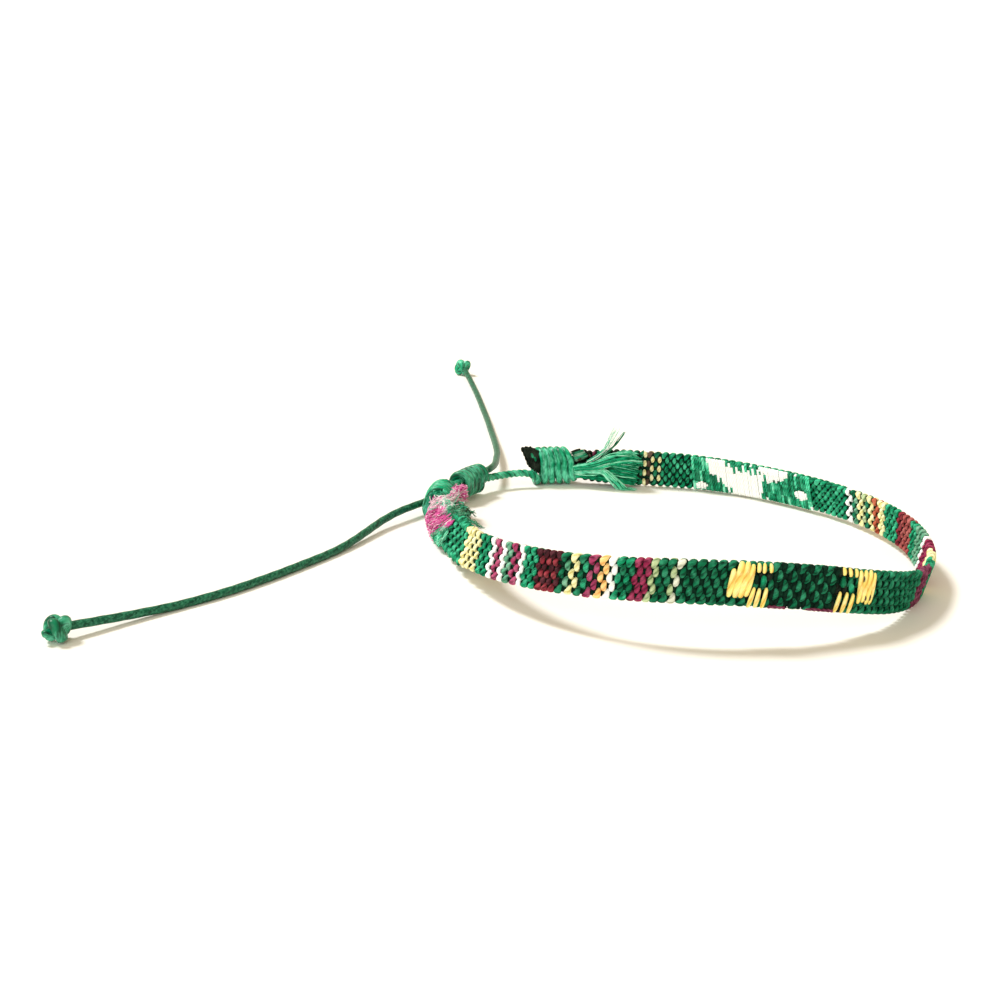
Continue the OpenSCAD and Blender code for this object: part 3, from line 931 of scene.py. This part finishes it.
def bunch(shape, points, count, spread, grow, radius, blend, wobble, sides):
    """Fibres that lie side by side along points. grow is how much they part at each point."""
    for _ in range(count):
        parted = points + rng.normal(0, spread, 3) * grow[:, None]
        hair(shape, parted, radius, blend, wobble, sides)


def satin_end():
    """Slanted loose pink yarns over the outer face beside the left lashing."""
    shape = Shape()
    for start in np.arange(4.9, 13.5, 0.12):
        wide, thick, rise = strip_size(start)
        low = rise - wide / 2 - 0.1 + rng.normal(0, 0.15)
        top = read(satin_tops, start) + rng.normal(0, 0.45)
        share = np.linspace(0, 1, 14)
        up = low + (top - low) * share
        length = start + 1.02 * (up - low) + rng.normal(0, 0.12) * share
        yarn = rng.choice(list("ffffqm"))
        lift = thick / 2 + 0.08 + 0.14 * np.sin(np.pi * share) + rng.normal(0, 0.1)
        bearing = bearing_at(length)
        width = 0.1 * np.interp(share, [0, 0.2, 0.8, 1], [0.7, 1, 1, 0.4])
        shape.tube(spot(bearing, -lift, up), along(bearing), width, 0.09, letters.index(yarn), 7)
    # Two thin mauve stitches over them
    for length, up in ((13.4, -0.9), (12.9, -1.6)):
        stitch(shape, (length + 0.35, up + 0.35, length, up - 0.35, 0.09, "e"), -1, 0.42)
    for _ in range(260):
        length = rng.uniform(4.8, 13.2)
        low = rng.uniform(-2.4, -1.0)
        top = low + rng.uniform(0.5, 2.4)
        points = slanted(length, low, top, rng.uniform(0.6, 1.6), -0.8 - 0.35 * rng.random(3))
        hair(shape, points, 0.05, "fffqfm", 0.1)
    make("satin_end", shape, yarns)


def pale_band(shape):
    """Pale fibres that lie beside the left lashing, from the outer face over the top edge."""
    for _ in range(330):
        share = rng.normal(0, 0.3)
        low = on_strip(5.5 + share, -1.0 - 0.2 * rng.random(), -1.1 + share + rng.normal(0, 0.2))
        middle = on_strip(7.7 + share, -0.3 + rng.normal(0, 0.2), 1.5 - 0.5 * share)
        top = on_strip(7.3 + share, 1.0, 2.2 - 0.4 * share + rng.normal(0, 0.15))
        end = on_strip(6.4 + 0.5 * share, 1.9, 3.0 + rng.normal(0, 0.25))
        points = [low, middle, top, end]
        # Half of the fibres are shorter, by their end or by their start
        chance = rng.random()
        if chance >= 0.75:
            points = points[1:]
        elif chance >= 0.5:
            points = points[:3]
        hair(shape, points, 0.055, "qqwhqfq", 0.16)


def pink_fray():
    """The frayed pink yarns at the left closure."""
    shape = Shape()
    for row in pink_tufts:
        tuft(shape, *row)
    pale_band(shape)
    tuft(shape, on_strip(10.0, 0.4, 1.8), on_strip(9.0, 0.4, 1.6), 0.9, 170, "whwqh", 0.06)
    for middle, blend in lashing_tufts:
        root = on_strip(4.6, *middle[1:])
        tuft(shape, on_strip(*middle), root, 0.55, 80, blend, 0.055, 0.2)
    tuft(shape, on_strip(12.2, -0.7, 1.0), on_strip(11.0, -0.6, 0.4), 0.7, 90, "ffq", 0.06)
    make("pink_fray", shape, yarns, ["left_frayed_end"])


def green_fray():
    """The fluffy green yarns at the left closure, where the weave begins again."""
    shape = Shape()
    for row in green_tufts:
        tuft(shape, *row)
    for inward, up in ((0.2, 1.1), (-0.3, 0.3), (0.6, 0.5)):
        root = on_strip(3.8, inward, up)
        tuft(shape, on_strip(4.3, inward, up), root, 0.5, 80, "gthg", 0.07, 0.2)
    for middle, size, count, blend in edge_tufts:
        root = on_strip(middle[0] - 1, 0.6, 2.2)
        tuft(shape, on_strip(*middle), root, size, count, blend, 0.06)
    for end in ((-28.2, 3.3, 3.9), (-28.0, 3.0, 3.4), (-28.5, 2.4, 4.4)):
        for _ in range(5):
            points = [(-29.6, 5.0, 3.4), (-28.9, 4.0, 3.7), end + rng.normal(0, 0.15, 3)]
            hair(shape, points, 0.05, "agd")
    # Long fibres that run on along the top edge, on its inner side
    for _ in range(16):
        length = rng.uniform(26, 32)
        points = [(-29.9, 3.0, 3.7), on_strip(18.5, 1.1, 2.6), on_strip(23, 0.9, 2.95),
                  on_strip(length, 0.75 + 0.2 * rng.random(), 3.1 + rng.normal(0, 0.1))]
        hair(shape, points, 0.05, "ggda", 0.16)
    # Slanted fibres over the outer face; the bright mint ones are painted highlight
    for _ in range(100):
        length = rng.uniform(12.4, 18.0)
        low = -2.7 + rng.normal(0, 0.12)
        high = low + rng.uniform(0.8, 3.2)
        points = slanted(length, low, high, 0.45, -0.85 - 0.2 * rng.random())
        hair(shape, points, 0.075, "hahgv", 0.08)
    make("green_fray", shape, yarns)


def fan():
    """Frayed green yarns that leave the back lashing and spread over the strip's inner face."""
    shape = Shape()
    bunches = 18
    for number in range(bunches):
        share = (number + rng.uniform(0, 1)) / bunches
        depth = rng.uniform(0, 1)
        points = np.array([
            on_strip(193.8, 1.1 + 0.7 * depth, -1.4 * share),
            on_strip(190.0, 1.3 + depth, 1.2 - 2.7 * share + rng.normal(0, 0.15)),
            on_strip(187.4, 1.4 + 1.2 * depth, 2.6 - 4.2 * share + rng.normal(0, 0.25)),
            on_strip(185.0, 1.4 + 1.2 * depth, 2.9 - 4.9 * share + rng.normal(0, 0.2)),
            on_strip(182.7 + rng.normal(0, 0.3), 1.0 + 1.1 * depth, 2.8 - 5.2 * share)])
        # One bunch in six is bright mint, a painted highlight
        yarn = "htvtdt"[number % 6]
        bunch(shape, points, 10, 0.15, np.linspace(0.6, 1.2, 5), 0.1, yarn + yarn + "t", 0.08, 6)
    for route, count, spread, girth, blend in back_bunches:
        points = np.array([on_strip(*p) for p in route])
        grow = np.linspace(0.35, 1.1, len(points))
        bunch(shape, points, count, spread, grow, girth, blend, 0.07, 5)
    # A tuft of mostly bright mint fibres: painted highlight
    tuft(shape, on_strip(183.4, 2.4, -4.3), on_strip(184.4, 2.6, -3.6), 0.8, 110, "hvv", 0.05)
    make("back_fray", shape, yarns, ["back_frayed_end"])


def back_flap():
    """The corner of the folded end and its dark tip, which show on both sides of the back lashing."""
    shape = Shape()
    for *row, bulge in flap_stitches:
        stitch(shape, row, 1, bulge)
    # The folded tip beyond the lashing: flat dark yarns that leave a triangle
    for length in np.arange(199.3, 201.5, 0.3):
        top = np.interp(length, [199.3, 199.8, 201.5], [2.7, 3.05, 3.2]) + rng.normal(0, 0.05)
        bottom = np.interp(length, [199.3, 200.4, 201.5], [-1.0, -0.1, 2.7])
        for face in (-1, 1):
            stitch(shape, (length + 0.15, top, length, bottom, 0.33, "k"), face, 0.06)
    for length, up in ((200.3, 2.0), (199.8, 1.4)):
        stitch(shape, (length + 0.3, up + 0.4, length, up - 0.45, 0.24, "d"), 1, 0.27)
    make("back_flap", shape, yarns)


satin_end()
pink_fray()
green_fray()
fan()
back_flap()


# Surface and light

def surface():
    """A wide pale surface, flat under the part, that rises gently far away. Its sizes are metres."""
    rings = [0.0, 0.5, 0.9, 1.5, 2.5, 4, 7, 12, 20, 30]
    sides = 96
    points = []
    faces = []
    for i, r in enumerate(rings):
        level = 0.09 * max(r - 0.9, 0)**2 / (r + 0.9)
        for k in range(sides):
            turn = 2 * math.pi * k / sides
            points.append((r * math.cos(turn), r * math.sin(turn), level))
            if i:
                a = (i - 1) * sides
                b = i * sides
                faces.append((a + k, b + k, b + (k + 1) % sides, a + (k + 1) % sides))
    mesh = bpy.data.meshes.new("surface")
    mesh.from_pydata(points, [], faces)
    mesh.polygons.foreach_set("use_smooth", [True] * len(faces))
    obj = in_scene("surface", mesh)
    m = Nodes("pale_surface")
    coords = m.add("ShaderNodeTexCoord").outputs["Object"]
    cloud = m.noise(coords, 14.0, 3.0, 0.5)
    tone = m.mix(cloud, linear((238, 237, 233)), linear((243, 242, 239)))
    m.feed(m.shader.inputs["Base Color"], tone)
    m.shader.inputs["Roughness"].default_value = 0.6
    m.shader.inputs["Specular IOR Level"].default_value = 0.2
    mesh.materials.append(m.material)


def sun(name, energy, spread, travel, colour=(1, 1, 1)):
    """A distant light. spread is its size in degrees and travel the way its light goes."""
    data = bpy.data.lights.new(name, "SUN")
    data.energy = energy
    data.color = colour
    data.angle = math.radians(spread)
    obj = in_scene(name, data)
    z = -unit(np.array(travel, float))
    x = unit(np.cross([0.0, 1.0, 0.0], z))
    obj.matrix_world = Matrix([list(v) for v in (x, np.cross(z, x), z)]).transposed().to_4x4()


def lights():
    """A warm glow all round, a soft key light from the left behind and a cool one from the front."""
    scene = bpy.context.scene
    world = bpy.data.worlds.new("studio")
    world.use_nodes = True
    background = world.node_tree.nodes["Background"]
    background.inputs["Color"].default_value = (1.0, 0.79, 0.55, 1)
    background.inputs["Strength"].default_value = 0.66
    scene.world = world
    sun("key", 3.0, 15, (0.60, -0.28, -1.0))
    sun("fill", 1.15, 45, (0.3, 0.85, -0.5), (0.84, 1.0, 1.0))
    scene.view_settings.view_transform = "Standard"
    scene.view_settings.look = "None"


surface()
lights()
